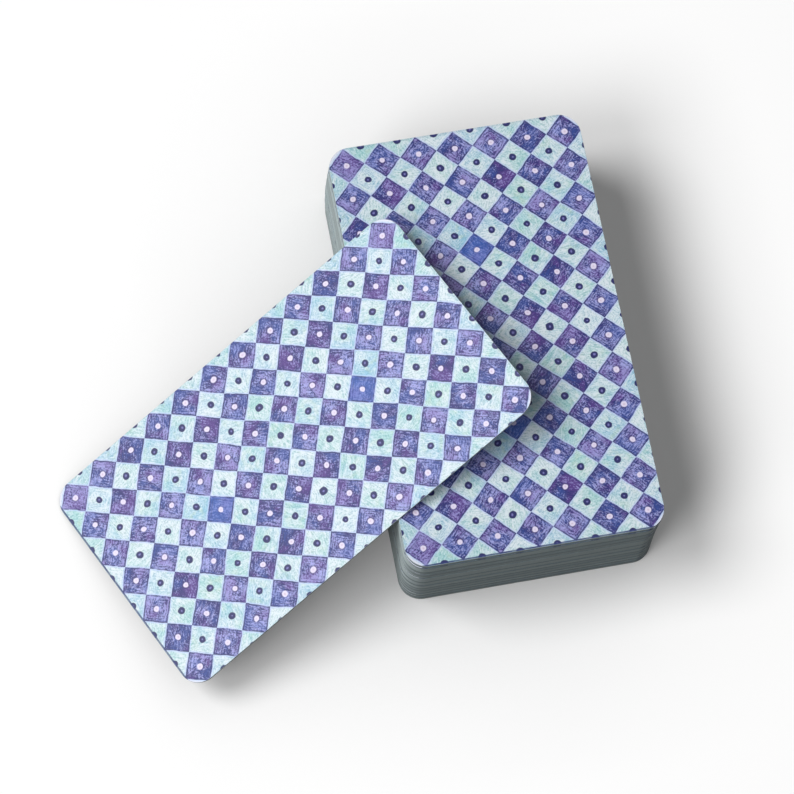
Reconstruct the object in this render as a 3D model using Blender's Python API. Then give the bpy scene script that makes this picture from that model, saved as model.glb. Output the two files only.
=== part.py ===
"""Card deck: a squared stack of cards, backs up, and one loose card that leans on it.

Units are metres and +Z is up. The origin is the middle of the stack's underside, on the table.
X runs across the stack and Y along it. The loose card stands on one low corner to the left of
the stack and leans on the stack's left top edge.
"""
import math
import random

import bmesh
import bpy
from mathutils import Matrix, Vector

# One card
CARD_WIDTH = 0.070
CARD_LENGTH = 0.120
CARD_THICKNESS = 0.000535
CORNER_RADIUS = 0.006
CORNER_STEPS = 6

# Air between two cards that lie on each other in the stack
AIR_GAP = 0.00002
CARD_PITCH = CARD_THICKNESS + AIR_GAP

# The stack's packets from the table up, in cards. Every other packet stands out at the near end,
# and each is a little out of square.
PACKET_CARDS = (3, 2, 2, 3, 2, 4, 2, 7, 3, 2, 2, 6, 3, 4, 2, 5, 2, 2, 3)
PACKET_STEP_LEAST = 0.00001
PACKET_STEP_MOST = 0.00005
PACKET_TWIST = math.radians(0.02)
SINGLE_CARD_PLAY = 0.00001
PLAY_SEED = 11

# The packet under the top one stands out the most at the near end, and mostly at its left corner
UPPER_PACKET = len(PACKET_CARDS) - 2
UPPER_PACKET_Y = -0.00014
UPPER_PACKET_TWIST = math.radians(-0.05)

# The stack's left side swells between the table and the top card, most at the far end
SWELL_X = -0.00040
SWELL_TWIST = math.radians(0.15)

# The upright axis that the stack is fanned about, at the middle of its near end
FAN_AXIS_IN_FROM_NEAR_END = CORNER_RADIUS
FAN_AXIS_Y = -CARD_LENGTH / 2 + FAN_AXIS_IN_FROM_NEAR_END

# The loose card: where its low corner stands, and how its length is turned from the stack's
FOOT_OUT_FROM_STACK = 0.0864
FOOT_Y = -0.0164
FOOT_X = -CARD_WIDTH / 2 - FOOT_OUT_FROM_STACK
LOOSE_TURN = math.radians(64.16)
LEAN_CLEARANCE = 0.0001

# Colours, linear
PRINT_COLOUR = (0.20, 0.19, 0.46, 1.0)
STOCK_COLOUR = (0.62, 0.66, 0.66, 1.0)
PRINT_ROUGHNESS = 0.55
STOCK_ROUGHNESS = 0.85


def clear_scene():
    """Remove every object, so that the script can run in any open file."""
    for item in list(bpy.data.objects):
        bpy.data.objects.remove(item, do_unlink=True)


def make_material(name, colour, roughness):
    """A plain Principled material with no metal in it."""
    material = bpy.data.materials.new(name)
    material.use_nodes = True
    shader = material.node_tree.nodes["Principled BSDF"]
    shader.inputs["Base Color"].default_value = colour
    shader.inputs["Roughness"].default_value = roughness
    shader.inputs["Metallic"].default_value = 0.0
    return material


def card_mesh(name, middle, materials):
    """A flat card with round corners, its middle at the given point of its own axes."""
    shape = bmesh.new()
    bmesh.ops.create_cube(shape, size=1.0)
    size = (CARD_WIDTH, CARD_LENGTH, CARD_THICKNESS)
    bmesh.ops.scale(shape, vec=size, verts=shape.verts)
    upright = [edge for edge in shape.edges if abs((edge.verts[0].co - edge.verts[1].co).z) > 0]
    bmesh.ops.bevel(
        shape,
        geom=upright,
        offset=CORNER_RADIUS,
        segments=CORNER_STEPS,
        profile=0.5,
        affect="EDGES",
    )
    bmesh.ops.translate(shape, vec=middle, verts=shape.verts)
    for face in shape.faces:
        face.material_index = 0 if face.normal.z > 0.5 else 1
    mesh = bpy.data.meshes.new(name)
    shape.to_mesh(mesh)
    shape.free()
    for material in materials:
        mesh.materials.append(material)
    return mesh


def add_object(name, data, parent=None):
    """Link a new object under its parent, at the parent's own place."""
    item = bpy.data.objects.new(name, data)
    bpy.context.scene.collection.objects.link(item)
    item.parent = parent
    return item


def stack_places():
    """Middle and twist of each card of the stack, from the table up. The top card lies true."""
    play = random.Random(PLAY_SEED)
    last = sum(PACKET_CARDS) - 1
    places = []
    for packet, count in enumerate(PACKET_CARDS):
        packet_x = play.uniform(-PACKET_STEP_MOST, PACKET_STEP_MOST)
        packet_y = play.uniform(PACKET_STEP_LEAST, PACKET_STEP_MOST) * (-1) ** packet
        twist = play.uniform(-PACKET_TWIST, PACKET_TWIST)
        if packet == UPPER_PACKET:
            packet_y = UPPER_PACKET_Y
            twist = UPPER_PACKET_TWIST
        for _ in range(count):
            swell = math.sin(math.pi * len(places) / last)
            x = packet_x + SWELL_X * swell + play.uniform(-SINGLE_CARD_PLAY, SINGLE_CARD_PLAY)
            y = packet_y + play.uniform(-SINGLE_CARD_PLAY, SINGLE_CARD_PLAY)
            z = CARD_THICKNESS / 2 + len(places) * CARD_PITCH
            places.append((Vector((x, y, z)), twist + SWELL_TWIST * swell))
    top_height = places[-1][0].z
    places[-1] = (Vector((0.0, 0.0, top_height)), 0.0)
    return places


def build_stack(places, materials):
    """Each card's origin lies on the fan axis, at the card's own height."""
    axis = add_object("fan_axis", None)
    axis.location = (0.0, FAN_AXIS_Y, 0.0)
    for number, (middle, twist) in enumerate(places, start=1):
        name = f"card_{number:02d}"
        from_axis = Vector((middle.x, middle.y - FAN_AXIS_Y, 0.0))
        mesh = card_mesh(name, from_axis, materials)
        about_middle = Matrix.Translation(from_axis) @ Matrix.Rotation(twist, 4, "Z")
        mesh.transform(about_middle @ Matrix.Translation(-from_axis))
        card = add_object(name, mesh, axis)
        card.location = (0.0, 0.0, middle.z)


def lean_angle(places):
    """Steepness at which the loose card's underside just clears every card of the stack."""
    slopes = []
    for middle, twist in places:
        half_way = CARD_WIDTH / 2 + CARD_LENGTH / 2 * abs(math.sin(twist))
        side_x = middle.x - half_way
        top_z = middle.z + CARD_THICKNESS / 2
        slopes.append(math.atan2(top_z + LEAN_CLEARANCE, side_x - FOOT_X))
    return max(slopes)


def build_loose_card(places, materials):
    """The card's origin lies on its low short edge, which it is turned up on."""
    middle = Vector((0.0, CARD_LENGTH / 2, CARD_THICKNESS / 2))
    mesh = card_mesh("loose_card", middle, materials)
    turn = Matrix.Rotation(-LOOSE_TURN, 4, "Z")
    tilt = Matrix.Rotation(-lean_angle(places), 4, "Y")
    placing = tilt @ turn
    foot = min((placing @ vertex.co for vertex in mesh.vertices), key=lambda point: point.z)
    edge = add_object("loose_card_edge", None)
    edge.matrix_world = Matrix.Translation(Vector((FOOT_X, FOOT_Y, 0.0)) - foot) @ placing
    add_object("loose_card", mesh, edge)


def build_deck():
    """The whole deck."""
    materials = (
        make_material("card_print", PRINT_COLOUR, PRINT_ROUGHNESS),
        make_material("card_stock", STOCK_COLOUR, STOCK_ROUGHNESS),
    )
    places = stack_places()
    build_stack(places, materials)
    build_loose_card(places, materials)


clear_scene()
build_deck()
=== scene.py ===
"""Looks of the card deck: a squared stack of cards, backs up, and one loose card that leans on it.

Every card of the frame is replaced by a finer card of the same size at the same place. Its back
carries a slanted check in coloured pencil with a dot in each square, its face a thin frame, and its
edge bare stock. Lengths are in metres unless a name or a comment says otherwise.
"""
import math
import random

import bmesh
import bpy
from mathutils import Matrix, Vector


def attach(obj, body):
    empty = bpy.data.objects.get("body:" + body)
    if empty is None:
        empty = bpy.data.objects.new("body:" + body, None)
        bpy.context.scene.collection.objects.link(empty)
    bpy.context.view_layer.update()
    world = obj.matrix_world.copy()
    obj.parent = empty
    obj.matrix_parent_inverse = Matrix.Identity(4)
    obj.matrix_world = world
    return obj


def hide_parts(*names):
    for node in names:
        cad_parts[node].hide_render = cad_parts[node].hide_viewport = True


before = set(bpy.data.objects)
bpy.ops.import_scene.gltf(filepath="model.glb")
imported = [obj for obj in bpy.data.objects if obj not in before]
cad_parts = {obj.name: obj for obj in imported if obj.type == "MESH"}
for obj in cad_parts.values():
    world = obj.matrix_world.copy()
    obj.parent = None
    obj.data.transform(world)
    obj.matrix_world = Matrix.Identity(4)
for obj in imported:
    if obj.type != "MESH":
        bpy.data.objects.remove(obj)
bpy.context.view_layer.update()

# One card
CARD_WIDTH = 0.070
CARD_LENGTH = 0.120
CARD_THICKNESS = 0.000535
CORNER_RADIUS = 0.006
CORNER_STEPS = 18

# A card's material slots
BACK_SLOT = 0
EDGE_SLOT = 1
FACE_SLOT = 2

# The die-cut edge from the back to the face: how far in from the outline, and how high up, as a
# share of the thickness
EDGE_PROFILE = (
    (0.00005, 1.00),
    (0.00002, 0.97),
    (0.00001, 0.92),
    (0.00000, 0.82),
    (0.00000, 0.16),
    (0.00001, 0.08),
    (0.00003, 0.03),
    (0.00006, 0.00),
)

# Reading a card's place off its node: vertices closer than this are one, and an edge this sharp, in
# radians, is on the card's rim
SAME_POINT = 0.000001
RIM_ANGLE = 1.0

# The printed check: its squares stand on a corner, one pitch from dot to dot across and along. One
# square in each half of a card, given by its column and row, is bluer than the rest.
PITCH_ACROSS = 0.01011
PITCH_ALONG = 0.00998
PITCHES_TO_LEFT_EDGE = 3.495
PITCHES_TO_END = 6.0
BLUER_SQUARE = (3.5, 3.5)

# How far the hand that draws the check sways, over long and short ways, in pitches
LONG_SWAY = 0.10
SHORT_SWAY = 0.04

# The dots, in sides of a square: their radii, how far a dot strays from the middle, and how uneven
# its outline is. Its size is uneven by a share of itself.
WHITE_DOT_RADIUS = 0.109
DARK_DOT_RADIUS = 0.138
DOT_STRAY = 0.02
DOT_WOBBLE = 0.035
DOT_SIZE_PLAY = 0.12

# A dot's rim, in its own radii: where it starts and where it is full. Then the dark ring that some
# white dots have, and its share.
WHITE_DOT_EDGE = (1.12, 0.88)
DARK_DOT_EDGE = (1.1, 0.9)
DOT_RING_EDGE = (1.8, 1.2)
DOT_RING_SHARE = 0.7

# The layers of pencil strokes: how many strokes a square holds side by side, and how many times
# longer than wide they are. Then the pencil lines over them, and how much noise sways those.
FIRST_LAYER = (22.0, 6.0)
SECOND_LAYER = (30.0, 5.0)
PALE_LAYER = (24.0, 6.0)
HATCH_LINES = 9.0
HATCH_SWAY = 2.2

# Where a square's own chance is past this, its strokes go round the dot: in the first layer, and in
# the other layers. Then how long a radian round the dot counts, in sides of a square, and how far
# apart in the noise two squares lie, for strokes and for the pencil's pressure.
RINGED_FIRST = (0.45, 0.46)
RINGED_OTHER = (0.75, 0.76)
RADIAN_LENGTH = 0.35
STROKES_APART = 61.0
PRESSURE_APART = 83.0

# The dark line round each violet square, in sides of the square in from its edge: where it starts
# and where it is full. Then a second, thinner one further in. The first is dark where the pencil
# was pressed, and the second shows where it wasn't.
OUTLINE_EDGE = (0.08, 0.03)
OUTLINE_LEAST = 0.26
OUTLINE_PRESSED = 0.66
INNER_LINE_IN = 0.13
INNER_LINE_EDGE = (0.035, 0.01)
INNER_LINE_SHARE = 0.45

# The dark line that closes the check at a card's short ends, and the bare rim outside it at the
# near one, in pitches: how far in the line's middle is, and where each starts and is full. The line
# is faint where printed and darkened by painted shade at the near end, so fainter at the far end.
# The near rim is a painted highlight.
END_LINE_IN = 0.034
END_LINE_EDGE = (0.028, 0.014)
END_LINE_LEAST = 0.15
END_LINE_NEAR_SHADE = 0.85
END_RIM_HIGHLIGHT_EDGE = (0.014, 0.006)

# What the lightness of a violet square is made of: two layers of strokes, the paper's grain, pencil
# lines side by side, cloudy shade, the square's own depth, and a level for all
VIOLET_FIRST_STROKES = 1.6
VIOLET_SECOND_STROKES = 1.6
VIOLET_GRAIN = 2.4
VIOLET_LINES = 0.17
VIOLET_CLOUD = 1.7
VIOLET_DEPTH = 0.42
VIOLET_LEVEL = 0.35

# Its hue: how much clouds, the square's own tint and strokes count, and the shares of the colours
HUE_CLOUD = 5.0
HUE_TINT = 0.7
HUE_STROKES = 3.0
PURPLE_SHARE = 0.33
BLUE_SHARE = 0.30
BLUER_SHARE = 0.55

# What the bareness of a pale square is made of, beside the paper's grain
PALE_STROKES = 1.2
PALE_CLOUD = 0.9
PALE_TINT = 0.30
PALE_LEVEL = 0.57

# The shares of the other colours there, and how much a square's own chance turns mint to cyan. Then
# where a card's bare corner begins, in pitches across and along together, and how bare it is.
LEAF_SHARE = 0.5
SPECK_SHARE = 0.36
FRINGE_SHARE = 0.75
MINT_OR_CYAN = 0.4
BARE_CORNER = (8.95, 9.1)
BARE_CORNER_SHARE = 0.9

# The face's printed frame: how far in its thick line is, the radius of its corners, how far inside
# that the thin line is, and where each line starts and is full
FRAME_INSET = 0.0045
FRAME_RADIUS = 0.0025
THIN_LINE_IN = 0.0011
THICK_LINE_EDGE = (0.00030, 0.00022)
THIN_LINE_EDGE = (0.00014, 0.00008)

# The paper: how proud its relief stands, and its roughness from the least to the most
BACK_RELIEF = 0.00001
EDGE_RELIEF = 0.00002
FACE_RELIEF = 0.000008
BACK_ROUGHNESS = (0.50, 0.64)
EDGE_ROUGHNESS = (0.78, 0.93)
FACE_ROUGHNESS = (0.45, 0.59)

# The paper's tooth on the face and its fibres at the edge, to a metre. Then what the shade of an
# edge is made of: fibres, the card's tone, and the painted shade that darkens the short ends.
TOOTH = 3500.0
FIBRES_ALONG = 900.0
FIBRES_UP = 9000.0
EDGE_FIBRE = 0.5
EDGE_TONE = 0.7
EDGE_END_PAINTED_SHADE = 0.45

# The camera
CAMERA_PLACE = Vector((-0.13063, -0.30031, 0.94145))
CAMERA_AIM = Vector((-0.02538, -0.00216, 0.0))
CAMERA_ROLL = math.radians(9.07)
CAMERA_LENS = 163.22
SENSOR_WIDTH = 36.0
CLIP_START = 0.01

# The studio: a round floor just under the cards, and softboxes round them. A softbox: name, azimuth
# from +X and elevation in degrees, half its width in degrees, and the light that it lays on a
# surface square to it.
FLOOR_RADIUS = 12.0
FLOOR_SIDES = 96
FLOOR_HEIGHT = -0.00002
LAMP_DISTANCE = 6.0
SOFTBOXES = (
    ("softbox_low", 210.0, 42.0, 14.5, 0.49),
    ("softbox_high", 163.0, 53.0, 15.5, 0.70),
)

# The room's faint light, by the side that it comes from, and the rays that see the floor and the
# room as the camera does
AMBIENT_TOWARDS = Vector((0.17, 0.11, 0.015))
SEEING_RAYS = ("Is Camera Ray", "Is Glossy Ray", "Is Transmission Ray")

# The floor as the camera sees it: its share of the light in the open and where it is hemmed in, as
# painted shade near what stands on it, how far off it feels what stands on it, and its own faint
# glow. Then the share that it sends back.
FLOOR_OPEN = (0.905, 0.905, 0.905, 1.0)
FLOOR_PAINTED_SHADE = (0.40, 0.40, 0.40, 1.0)
FLOOR_SHADE_REACH = 0.06
FLOOR_GLOW = 0.14
FLOOR_DIM = (0.06, 0.06, 0.06, 1.0)

# The stock's tone: most cards are light, and here and there lie one or two darker ones
LIGHT_TONE = (0.55, 1.0)
DARK_TONE = (0.0, 0.25)
LIGHT_RUN = (2, 6)
DARK_RUN = (1, 2)
SEED = 4


def srgb(red, green, blue):
    """A linear colour from its 0 to 255 display values."""
    linear = []
    for value in (red, green, blue):
        part = value / 255
        linear.append(part / 12.92 if part <= 0.04045 else ((part + 0.055) / 1.055) ** 2.4)
    return (*linear, 1.0)


# Colours of the print, the paper and the room
INDIGO = srgb(22, 24, 96)
LAVENDER = srgb(158, 162, 218)
PURPLE = srgb(118, 66, 156)
BLUE = srgb(44, 92, 176)
OUTLINE = srgb(22, 36, 92)
PALE_MINT = srgb(142, 200, 198)
PALE_CYAN = srgb(134, 188, 214)
PALE_LEAF = srgb(190, 216, 194)
PALE_WHITE = srgb(217, 228, 235)
PALE_SHADE = srgb(116, 142, 158)
FRINGE = srgb(184, 198, 238)
DOT_DARK = srgb(4, 12, 78)
DOT_DARK_MIDDLE = srgb(116, 114, 178)
DOT_WHITE = srgb(222, 214, 238)
DOT_SPOT = srgb(204, 184, 200)
DOT_RING = srgb(52, 38, 96)
BARE_PAPER = srgb(222, 223, 240)
STOCK = srgb(168, 180, 181)
STOCK_DARK = srgb(106, 117, 120)
FACE_PAPER = srgb(228, 231, 236)
FACE_FRAME = srgb(72, 66, 138)
WHITE = (1.0, 1.0, 1.0, 1.0)


class Field:
    """A number that varies over a surface: one output of a material's nodes."""

    def __init__(self, socket):
        self.socket = socket

    def __add__(self, other):
        return compute("ADD", self, other)

    __radd__ = __add__

    def __sub__(self, other):
        return compute("SUBTRACT", self, other)

    def __rsub__(self, other):
        return compute("SUBTRACT", other, self)

    def __mul__(self, other):
        return compute("MULTIPLY", self, other)

    __rmul__ = __mul__

    def __truediv__(self, other):
        return compute("DIVIDE", self, other)

    def __abs__(self):
        return compute("ABSOLUTE", self)


def feed(socket, value):
    """Link a field or a colour into a socket, or set a plain value on it."""
    if isinstance(value, Field):
        value = value.socket
    if isinstance(value, bpy.types.NodeSocket):
        socket.id_data.links.new(value, socket)
    else:
        socket.default_value = value


def compute(operation, *values):
    """A Math node over fields and plain numbers."""
    tree = next(value.socket.id_data for value in values if isinstance(value, Field))
    node = tree.nodes.new("ShaderNodeMath")
    node.operation = operation
    for socket, value in zip(node.inputs, values):
        feed(socket, value)
    return Field(node.outputs[0])


def largest(first, second):
    """The larger of two fields or numbers at each point."""
    return compute("MAXIMUM", first, second)


def band(value, low, high):
    """0 at low and 1 at high, with a smooth step between them. Low may lie above high."""
    tree = value.socket.id_data
    node = tree.nodes.new("ShaderNodeMapRange")
    node.interpolation_type = "SMOOTHSTEP"
    feed(node.inputs["Value"], value)
    node.inputs["From Min"].default_value = min(low, high)
    node.inputs["From Max"].default_value = max(low, high)
    node.inputs["To Min"].default_value = 0.0 if low < high else 1.0
    node.inputs["To Max"].default_value = 1.0 if low < high else 0.0
    return Field(node.outputs["Result"])


def between(factor, first, second):
    """A field that goes from first to second as factor goes from 0 to 1."""
    return first + (second - first) * factor


def vector(*values):
    """A vector of three fields or numbers."""
    tree = next(value.socket.id_data for value in values if isinstance(value, Field))
    node = tree.nodes.new("ShaderNodeCombineXYZ")
    for socket, value in zip(node.inputs, values):
        feed(socket, value)
    return node.outputs["Vector"]


def parts_of(colour):
    """The three numbers of a colour or a vector socket, as fields."""
    node = colour.id_data.nodes.new("ShaderNodeSeparateXYZ")
    feed(node.inputs["Vector"], colour)
    return [Field(socket) for socket in node.outputs]


def noise(place, scale=1.0, detail=2.0, roughness=0.5):
    """A Noise node at a vector socket."""
    node = place.id_data.nodes.new("ShaderNodeTexNoise")
    feed(node.inputs["Vector"], place)
    node.inputs["Scale"].default_value = scale
    node.inputs["Detail"].default_value = detail
    node.inputs["Roughness"].default_value = roughness
    return node


def noise_value(place, scale=1.0, detail=2.0, roughness=0.5):
    """The one number of a Noise node at a vector socket."""
    return Field(noise(place, scale, detail, roughness).outputs[0])


def chances(across, along, key):
    """Three even chances from 0 to 1 for each square of the check."""
    node = across.socket.id_data.nodes.new("ShaderNodeTexWhiteNoise")
    feed(node.inputs["Vector"], vector(across, along, key))
    return parts_of(node.outputs["Color"])


def blend_colours(factor, first, second):
    """A colour that goes from first to second as factor goes from 0 to 1."""
    tree = factor.socket.id_data
    node = tree.nodes.new("ShaderNodeMix")
    node.data_type = "RGBA"
    feed(node.inputs["Factor"], factor)
    feed(colour_input(node, "A"), first)
    feed(colour_input(node, "B"), second)
    return colour_output(node)


def colour_input(node, letter):
    """The Mix node's colour input A or B."""
    return next(socket for socket in node.inputs if socket.identifier == f"{letter}_Color")


def colour_output(node):
    """The Mix node's colour result."""
    return next(socket for socket in node.outputs if socket.identifier == "Result_Color")


def new_material(name):
    """A Principled material with no metal in it, its tree and its shader."""
    material = bpy.data.materials.new(name)
    material.use_nodes = True
    shader = material.node_tree.nodes["Principled BSDF"]
    shader.inputs["Metallic"].default_value = 0.0
    return material, material.node_tree, shader


def card_place(tree):
    """A point's place on its own card in metres from the card's middle, as three fields."""
    node = tree.nodes.new("ShaderNodeAttribute")
    node.attribute_name = "place"
    return parts_of(node.outputs["Vector"])


def add_bump(tree, shader, height, distance):
    """Relief from a height field. Distance is what a height of 1 stands proud."""
    node = tree.nodes.new("ShaderNodeBump")
    node.inputs["Strength"].default_value = 1.0
    node.inputs["Distance"].default_value = distance
    feed(node.inputs["Height"], height)
    tree.links.new(node.outputs["Normal"], shader.inputs["Normal"])


class Check:
    """The slanted check at every point of a card's back: which square, and where in it."""

    def __init__(self, tree):
        x, y, _ = card_place(tree)
        self.across = x / PITCH_ACROSS
        self.along = abs(y) / PITCH_ALONG
        self.near_end = band(y, 0.0, -PITCH_ALONG)
        slow = parts_of(noise(vector(self.across, self.along, 3.7), 0.9, 1.0).outputs["Color"])
        fast = parts_of(noise(vector(self.across, self.along, 8.3), 5.5, 2.0).outputs["Color"])
        drawn_across = self.drawn(self.across, slow[0], fast[0])
        drawn_along = self.drawn(self.along, slow[1], fast[1])
        column = drawn_across + PITCHES_TO_LEFT_EDGE
        row = PITCHES_TO_END - drawn_along
        rising = column + row
        falling = column - row
        self.rising_number = compute("ROUND", rising)
        self.falling_number = compute("ROUND", falling)
        self.u = rising - self.rising_number
        self.v = falling - self.falling_number
        total = self.rising_number + self.falling_number
        self.violet = compute("FLOORED_MODULO", total, 2.0)
        self.edge = 0.5 - largest(abs(self.u), abs(self.v))

    @staticmethod
    def drawn(true, slow, fast):
        """A coordinate as the unsteady hand draws it."""
        return true + (slow - 0.5) * LONG_SWAY + (fast - 0.5) * SHORT_SWAY

    def chances(self, key):
        """Three even chances of the square's own. Another key gives three others."""
        return chances(self.rising_number, self.falling_number, key)

    def only_square(self, column, row):
        """1 in the square at this column and row, and 0 in every other."""
        rising = abs(self.rising_number - (column + row))
        falling = abs(self.falling_number - (column - row))
        return band(rising + falling, 0.6, 0.4)

    def turned(self, turn):
        """The square's own two coordinates, turned: over the strokes and along them."""
        cosine = compute("COSINE", turn)
        sine = compute("SINE", turn)
        return self.u * cosine + self.v * sine, self.v * cosine - self.u * sine

    def strokes(self, turn, ring, seed, fineness, length):
        """Pencil strokes: noise drawn out along a turn, or round the dot where ring is 1."""
        over, along = self.turned(turn)
        reach = largest(abs(self.u), abs(self.v))
        around = compute("ARCTAN2", self.v, self.u) * RADIAN_LENGTH
        over = between(ring, over, reach)
        along = between(ring, along, around)
        place = vector(over * fineness, along * (fineness / length), seed * STROKES_APART)
        return noise_value(place, 1.0, 1.5, 0.6)

    def hatch(self, turn, seed, count):
        """Pencil lines side by side along a turn, so many to a square, from -1 to 1. Their spacing
        and their pressure are uneven."""
        over, along = self.turned(turn)
        sway = noise_value(vector(over * 4.0, along * 1.6, seed * STROKES_APART), 1.0, 1.0)
        press = noise_value(vector(over * count, along * 3.0, seed * PRESSURE_APART), 1.0, 1.0)
        wave = compute("SINE", (over * count + sway * HATCH_SWAY) * (2 * math.pi))
        return wave * band(press, 0.3, 0.6)

    def dot(self, chance_u, chance_v, chance_size, radius):
        """Distance from the square's dot in its own radii, uneven as drawn by hand."""
        off_u = self.u - (chance_u - 0.5) * DOT_STRAY
        off_v = self.v - (chance_v - 0.5) * DOT_STRAY
        distance = compute("SQRT", off_u * off_u + off_v * off_v)
        wobble = self.noise(9.0, 5.0) - 0.5
        size = (chance_size - 0.5) * DOT_SIZE_PLAY + 1.0
        return (distance + wobble * DOT_WOBBLE) / (size * radius)

    def noise(self, scale, layer, detail=1.0):
        """Even noise over the card, so many to a pitch. Each use has a layer of its own."""
        return noise_value(vector(self.across, self.along, layer), scale, detail)


def violet_colour(check, grain):
    """Indigo, purple and lavender pencil over each other, and the dark outline."""
    tint, mode, turn = check.chances(1.0)
    turn_two, depth, side = check.chances(2.0)
    side_on = compute("ROUND", turn) * (math.pi / 2) + (turn_two - 0.5) * 0.5
    first = check.strokes(side_on, band(mode, *RINGED_FIRST), tint, *FIRST_LAYER) - 0.5
    any_way = turn_two * math.pi
    second = check.strokes(any_way, band(mode, *RINGED_OTHER), side, *SECOND_LAYER) - 0.5
    lines = check.hatch(side_on, side, HATCH_LINES)
    pencil = first * VIOLET_FIRST_STROKES + second * VIOLET_SECOND_STROKES + lines * VIOLET_LINES
    shade = (check.noise(2.3, 12.1) - 0.5) * VIOLET_CLOUD + (depth - 0.5) * VIOLET_DEPTH
    light = pencil + grain * VIOLET_GRAIN + shade + VIOLET_LEVEL
    colour = blend_colours(band(light, 0.0, 1.0), INDIGO, LAVENDER)
    patch = (check.noise(2.0, 2.6) - 0.5) * HUE_CLOUD + (tint - 0.5) * HUE_TINT
    purple = band(patch + second * HUE_STROKES, -0.1, 0.8)
    colour = blend_colours(purple * PURPLE_SHARE, colour, PURPLE)
    blue = band(patch + first * HUE_STROKES, -0.1, -0.9)
    colour = blend_colours(blue * BLUE_SHARE, colour, BLUE)
    colour = blend_colours(check.only_square(*BLUER_SQUARE) * BLUER_SHARE, colour, BLUE)
    press = band(check.noise(4.5, 7.7), 0.38, 0.60)
    line = band(check.edge, *OUTLINE_EDGE) * (press * OUTLINE_PRESSED + OUTLINE_LEAST)
    inner = band(abs(check.edge - INNER_LINE_IN), *INNER_LINE_EDGE)
    inner = inner * (1.0 - press) * INNER_LINE_SHARE
    return blend_colours(largest(line, inner), colour, OUTLINE)


def pale_colour(check, grain):
    """Cyan and mint pencil laid on thinly, and the violet that strays over the edge."""
    tint, mode, turn = check.chances(3.0)
    any_way = turn * math.pi
    strokes = check.strokes(any_way, band(mode, *RINGED_OTHER), tint, *PALE_LAYER) - 0.5
    patch = check.noise(1.4, 1.9) - 0.5
    cyan = band(patch + (mode - 0.5) * MINT_OR_CYAN, -0.25, 0.25)
    pencil = blend_colours(cyan, PALE_MINT, PALE_CYAN)
    leaf = band(check.noise(4.5, 3.3), 0.5, 0.7)
    pencil = blend_colours(leaf * LEAF_SHARE, pencil, PALE_LEAF)
    wash = (check.noise(2.0, 5.5) - 0.5) * PALE_CLOUD + (tint - 0.5) * PALE_TINT
    bare = strokes * PALE_STROKES + grain + wash + PALE_LEVEL
    colour = blend_colours(band(bare, 0.0, 1.0), pencil, PALE_WHITE)
    corner = band(abs(check.across) + check.along, *BARE_CORNER)
    speck = band(grain + strokes * 0.7, 0.08, -0.24)
    colour = blend_colours(speck * SPECK_SHARE, colour, PALE_SHADE)
    colour = blend_colours(corner * BARE_CORNER_SHARE, colour, BARE_PAPER)
    return blend_colours(band(check.edge, 0.09, 0.0) * FRINGE_SHARE, colour, FRINGE)


def add_dots(check, colour):
    """A white dot in each violet square and a dark one in each pale square."""
    chance_u, chance_v, chance_size = check.chances(4.0)
    white = check.dot(chance_u, chance_v, chance_size, WHITE_DOT_RADIUS)
    dark = check.dot(chance_u, chance_v, chance_size, DARK_DOT_RADIUS)
    ring = band(white, *DOT_RING_EDGE) * band(check.noise(3.1, 4.4), 0.36, 0.6)
    colour = blend_colours(ring * check.violet * DOT_RING_SHARE, colour, DOT_RING)
    spot = band(white + check.noise(12.0, 6.1), 1.0, 0.5)
    blob = blend_colours(spot * 0.7, DOT_WHITE, DOT_SPOT)
    colour = blend_colours(band(white, *WHITE_DOT_EDGE) * check.violet, colour, blob)
    middle = band(dark + (check.noise(10.0, 8.8) - 0.5) * 0.9, 0.40, 0.10)
    blot = blend_colours(middle, DOT_DARK, DOT_DARK_MIDDLE)
    return blend_colours(band(dark, *DARK_DOT_EDGE) * (1.0 - check.violet), colour, blot)


def close_ends(check, colour):
    """The dark line at a card's short ends, deepened by painted shade at the near end, and the bare
    rim there, a painted highlight.
    """
    inset = CARD_LENGTH / 2 / PITCH_ALONG - check.along
    line = band(abs(inset - END_LINE_IN), *END_LINE_EDGE) * (check.noise(3.0, 6.6) * 0.6 + 0.6)
    # Painted shade: the printed line is darkened at the near end.
    strength = check.near_end * END_LINE_NEAR_SHADE + END_LINE_LEAST
    colour = blend_colours(line * strength, colour, OUTLINE)
    # Painted highlight: a lighter bare rim at the near end only.
    return blend_colours(band(inset, *END_RIM_HIGHLIGHT_EDGE) * check.near_end, colour, PALE_SHADE)


def print_material():
    """The back: the check in coloured pencil on coated paper."""
    material, tree, shader = new_material("card_back")
    check = Check(tree)
    tooth = noise_value(vector(check.across, check.along, 0.4), 38.0, 1.0)
    grain = check.noise(26.0, 9.4, 2.0) - 0.5
    pale = pale_colour(check, grain)
    colour = blend_colours(check.violet, pale, violet_colour(check, grain))
    colour = close_ends(check, add_dots(check, colour))
    feed(shader.inputs["Base Color"], colour)
    feed(shader.inputs["Roughness"], between(tooth, *BACK_ROUGHNESS))
    add_bump(tree, shader, tooth, BACK_RELIEF)
    return material


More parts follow.
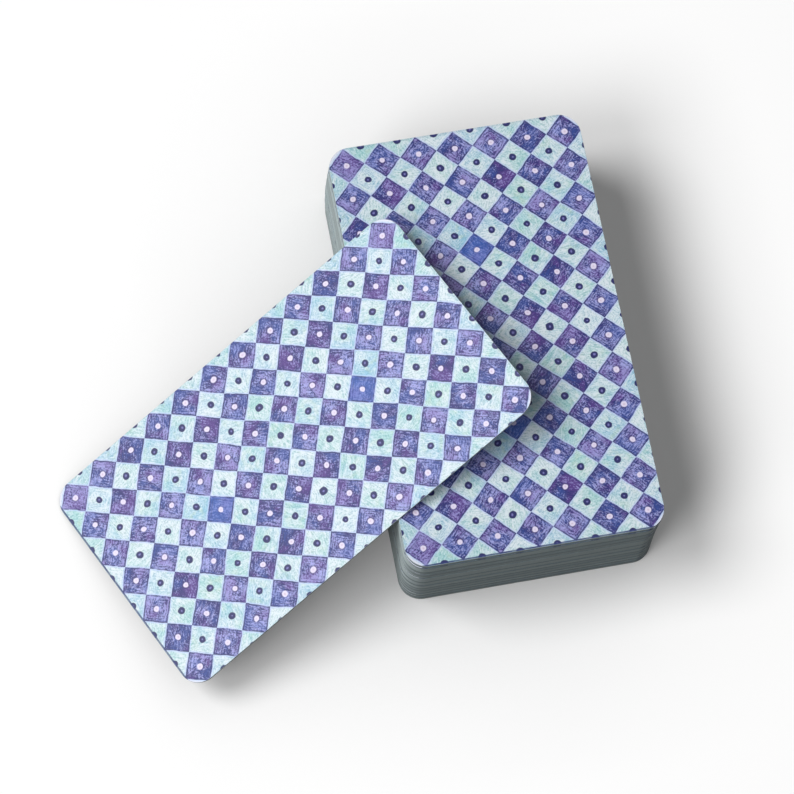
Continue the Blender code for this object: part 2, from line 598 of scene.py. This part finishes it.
def stock_material():
    """Bare paper at the die-cut edge: fibres along it, its own tone for each card, and painted
    shade at the short ends.
    """
    material, tree, shader = new_material("card_edge")
    x, y, z = card_place(tree)
    place = vector(x * FIBRES_ALONG, y * FIBRES_ALONG, z * FIBRES_UP)
    fibre = noise_value(place, 1.0, 3.0, 0.6)
    node = tree.nodes.new("ShaderNodeAttribute")
    node.attribute_name = "tone"
    tone = Field(node.outputs["Fac"])
    # Painted shade: the edge's colour is darker towards the card's short ends.
    painted_end_shade = band(abs(y) - (CARD_LENGTH / 2 - CORNER_RADIUS), 0.0, CORNER_RADIUS)
    shade = fibre * EDGE_FIBRE + tone * EDGE_TONE - painted_end_shade * EDGE_END_PAINTED_SHADE
    feed(shader.inputs["Base Color"], blend_colours(band(shade, -0.2, 1.0), STOCK_DARK, STOCK))
    feed(shader.inputs["Roughness"], between(fibre, *EDGE_ROUGHNESS))
    add_bump(tree, shader, fibre, EDGE_RELIEF)
    return material


def face_material():
    """The face: plain coated paper with a thin frame near its edge."""
    material, tree, shader = new_material("card_face")
    x, y, _ = card_place(tree)
    side = abs(x) - (CARD_WIDTH / 2 - FRAME_INSET)
    end = abs(y) - (CARD_LENGTH / 2 - FRAME_INSET)
    corner_x = largest(side + FRAME_RADIUS, 0.0)
    corner_y = largest(end + FRAME_RADIUS, 0.0)
    outside = compute("SQRT", corner_x * corner_x + corner_y * corner_y) - FRAME_RADIUS
    thick = band(abs(outside), *THICK_LINE_EDGE)
    thin = band(abs(outside + THIN_LINE_IN), *THIN_LINE_EDGE)
    tooth = noise_value(vector(x * TOOTH, y * TOOTH, 0.0), 1.0, 2.0)
    paper = blend_colours(band(tooth, 0.3, 0.7) * 0.25, FACE_PAPER, BARE_PAPER)
    colour = blend_colours(largest(thick, thin) * 0.9, paper, FACE_FRAME)
    feed(shader.inputs["Base Color"], colour)
    feed(shader.inputs["Roughness"], between(tooth, *FACE_ROUGHNESS))
    add_bump(tree, shader, tooth, FACE_RELIEF)
    return material


def outline_ring(inset, height, shape):
    """A ring of vertices along the card's round-cornered outline, set in from it."""
    ring = []
    across = CARD_WIDTH / 2 - CORNER_RADIUS
    along = CARD_LENGTH / 2 - CORNER_RADIUS
    reach = CORNER_RADIUS - inset
    centres = ((across, along), (-across, along), (-across, -along), (across, -along))
    for quarter, (centre_x, centre_y) in enumerate(centres):
        for step in range(CORNER_STEPS + 1):
            turn = math.radians(90) * (quarter + step / CORNER_STEPS)
            x = centre_x + reach * math.cos(turn)
            y = centre_y + reach * math.sin(turn)
            ring.append(shape.verts.new((x, y, height)))
    return ring


def card_mesh(name, place, tone, materials):
    """One card at its place: the back on top, the die-cut edge and the face."""
    shape = bmesh.new()
    rings = []
    for inset, share in EDGE_PROFILE:
        rings.append(outline_ring(inset, (share - 0.5) * CARD_THICKNESS, shape))
    back = shape.faces.new(rings[0])
    back.material_index = BACK_SLOT
    face = shape.faces.new(list(reversed(rings[-1])))
    face.material_index = FACE_SLOT
    for upper, lower in zip(rings, rings[1:]):
        for at in range(len(upper)):
            after = (at + 1) % len(upper)
            side = shape.faces.new((upper[at], lower[at], lower[after], upper[after]))
            side.material_index = EDGE_SLOT
            side.smooth = True
    for edge in (*back.edges, *face.edges):
        edge.smooth = False
    mesh = bpy.data.meshes.new(name)
    shape.to_mesh(mesh)
    shape.free()
    tones = mesh.attributes.new("tone", "FLOAT", "POINT")
    places = mesh.attributes.new("place", "FLOAT_VECTOR", "POINT")
    for vertex in mesh.vertices:
        tones.data[vertex.index].value = tone
        places.data[vertex.index].vector = vertex.co
    mesh.transform(place)
    for material in materials:
        mesh.materials.append(material)
    return mesh


def node_place(node):
    """Where a card's node lies: its middle, its long way and its upper side, as a matrix."""
    shape = bmesh.new()
    shape.from_mesh(node.data)
    bmesh.ops.remove_doubles(shape, verts=shape.verts, dist=SAME_POINT)
    shape.normal_update()
    joined = [edge for edge in shape.edges if len(edge.link_faces) == 2]
    rims = [edge for edge in joined if edge.calc_face_angle() > RIM_ANGLE]
    long_edge = max(rims, key=lambda edge: edge.calc_length())
    up = max(shape.faces, key=lambda face: face.normal.z).normal.copy()
    along = (long_edge.verts[1].co - long_edge.verts[0].co).normalized()
    if along.y < 0:
        along.negate()
    middle = Vector((0.0, 0.0, 0.0))
    for vertex in shape.verts:
        middle += vertex.co / len(shape.verts)
    shape.free()
    across = along.cross(up)
    turn = Matrix((across, along, up)).transposed().to_4x4()
    return Matrix.Translation(middle) @ turn


def stock_tones(count):
    """A tone from 0 to 1 for the edge of each card, in light and dark runs."""
    chance = random.Random(SEED)
    tones = []
    while len(tones) < count:
        light = chance.uniform(*LIGHT_TONE)
        tones += [light] * chance.randint(*LIGHT_RUN)
        dark = chance.uniform(*DARK_TONE)
        tones += [dark] * chance.randint(*DARK_RUN)
    return tones[:count]


def dress_cards():
    """Replace each card's node by a finer card at its place."""
    materials = (print_material(), stock_material(), face_material())
    names = sorted(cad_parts)
    for name, tone in zip(names, stock_tones(len(names))):
        piece_name = name + "_paper"
        place = node_place(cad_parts[name])
        mesh = card_mesh(piece_name, place, tone, materials)
        piece = bpy.data.objects.new(piece_name, mesh)
        bpy.context.scene.collection.objects.link(piece)
        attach(piece, name)
        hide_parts(name)


def is_seen(tree):
    """1 for a ray that sees the surface as the camera does, and 0 for one that only lights."""
    node = tree.nodes.new("ShaderNodeLightPath")
    seen, *others = [Field(node.outputs[kind]) for kind in SEEING_RAYS]
    for ray in others:
        seen = largest(seen, ray)
    return seen


def floor_material():
    """Pale matt floor, with shade painted into its colour near what stands on it. The object itself
    gets less light back from it than the eye sees.
    """
    material, tree, shader = new_material("floor")
    seen = is_seen(tree)
    # Painted shade: the floor's colour darkens near what stands on it, like a contact shadow.
    contact_shade = tree.nodes.new("ShaderNodeAmbientOcclusion")
    contact_shade.inputs["Distance"].default_value = FLOOR_SHADE_REACH
    colour = blend_colours(Field(contact_shade.outputs["AO"]), FLOOR_PAINTED_SHADE, FLOOR_OPEN)
    feed(shader.inputs["Base Color"], blend_colours(seen, FLOOR_DIM, colour))
    shader.inputs["Emission Color"].default_value = WHITE
    feed(shader.inputs["Emission Strength"], seen * FLOOR_GLOW)
    shader.inputs["Roughness"].default_value = 1.0
    shader.inputs["Specular IOR Level"].default_value = 0.0
    return material


def add_floor():
    """A wide round floor just under the cards."""
    shape = bmesh.new()
    bmesh.ops.create_circle(shape, cap_ends=True, radius=FLOOR_RADIUS, segments=FLOOR_SIDES)
    bmesh.ops.translate(shape, vec=(0.0, 0.0, FLOOR_HEIGHT), verts=shape.verts)
    mesh = bpy.data.meshes.new("floor")
    shape.to_mesh(mesh)
    shape.free()
    mesh.materials.append(floor_material())
    floor = bpy.data.objects.new("floor", mesh)
    bpy.context.scene.collection.objects.link(floor)


def add_world():
    """Faint light from one side of the room, and white where the camera sees it."""
    world = bpy.data.worlds.new("studio")
    world.use_nodes = True
    tree = world.node_tree
    background = tree.nodes["Background"]
    seen = is_seen(tree)
    place = tree.nodes.new("ShaderNodeTexCoord")
    x, y, z = parts_of(place.outputs["Generated"])
    level = x * AMBIENT_TOWARDS.x + y * AMBIENT_TOWARDS.y + z * AMBIENT_TOWARDS.z
    level = largest(level, 0.0)
    background.inputs["Color"].default_value = WHITE
    feed(background.inputs["Strength"], between(seen, level, 1.0))
    bpy.context.scene.world = world


def add_softbox(name, azimuth, elevation, half_angle, level):
    """A round soft lamp, given by where it stands and how wide it looks from the cards."""
    turn = math.radians(azimuth)
    rise = math.radians(elevation)
    half = math.radians(half_angle)
    lamp = bpy.data.lights.new(name, "AREA")
    lamp.shape = "DISK"
    lamp.size = 2 * LAMP_DISTANCE * math.tan(half)
    lamp.energy = level * (math.pi * LAMP_DISTANCE / math.cos(half)) ** 2
    direction = Vector((
        math.cos(rise) * math.cos(turn),
        math.cos(rise) * math.sin(turn),
        math.sin(rise),
    ))
    item = bpy.data.objects.new(name, lamp)
    bpy.context.scene.collection.objects.link(item)
    item.location = direction * LAMP_DISTANCE
    item.rotation_euler = direction.to_track_quat("Z", "Y").to_euler()
    item.visible_camera = False


def add_camera():
    """The camera at the photograph's angle."""
    lens = bpy.data.cameras.new("camera")
    lens.lens = CAMERA_LENS
    lens.sensor_width = SENSOR_WIDTH
    lens.clip_start = CLIP_START
    camera = bpy.data.objects.new("camera", lens)
    bpy.context.scene.collection.objects.link(camera)
    turn = (CAMERA_AIM - CAMERA_PLACE).to_track_quat("-Z", "Y").to_matrix().to_4x4()
    roll = Matrix.Rotation(CAMERA_ROLL, 4, "Z")
    camera.matrix_world = Matrix.Translation(CAMERA_PLACE) @ turn @ roll
    bpy.context.scene.camera = camera


dress_cards()
add_floor()
add_world()
for softbox in SOFTBOXES:
    add_softbox(*softbox)
add_camera()
bpy.context.scene.view_settings.view_transform = "Standard"
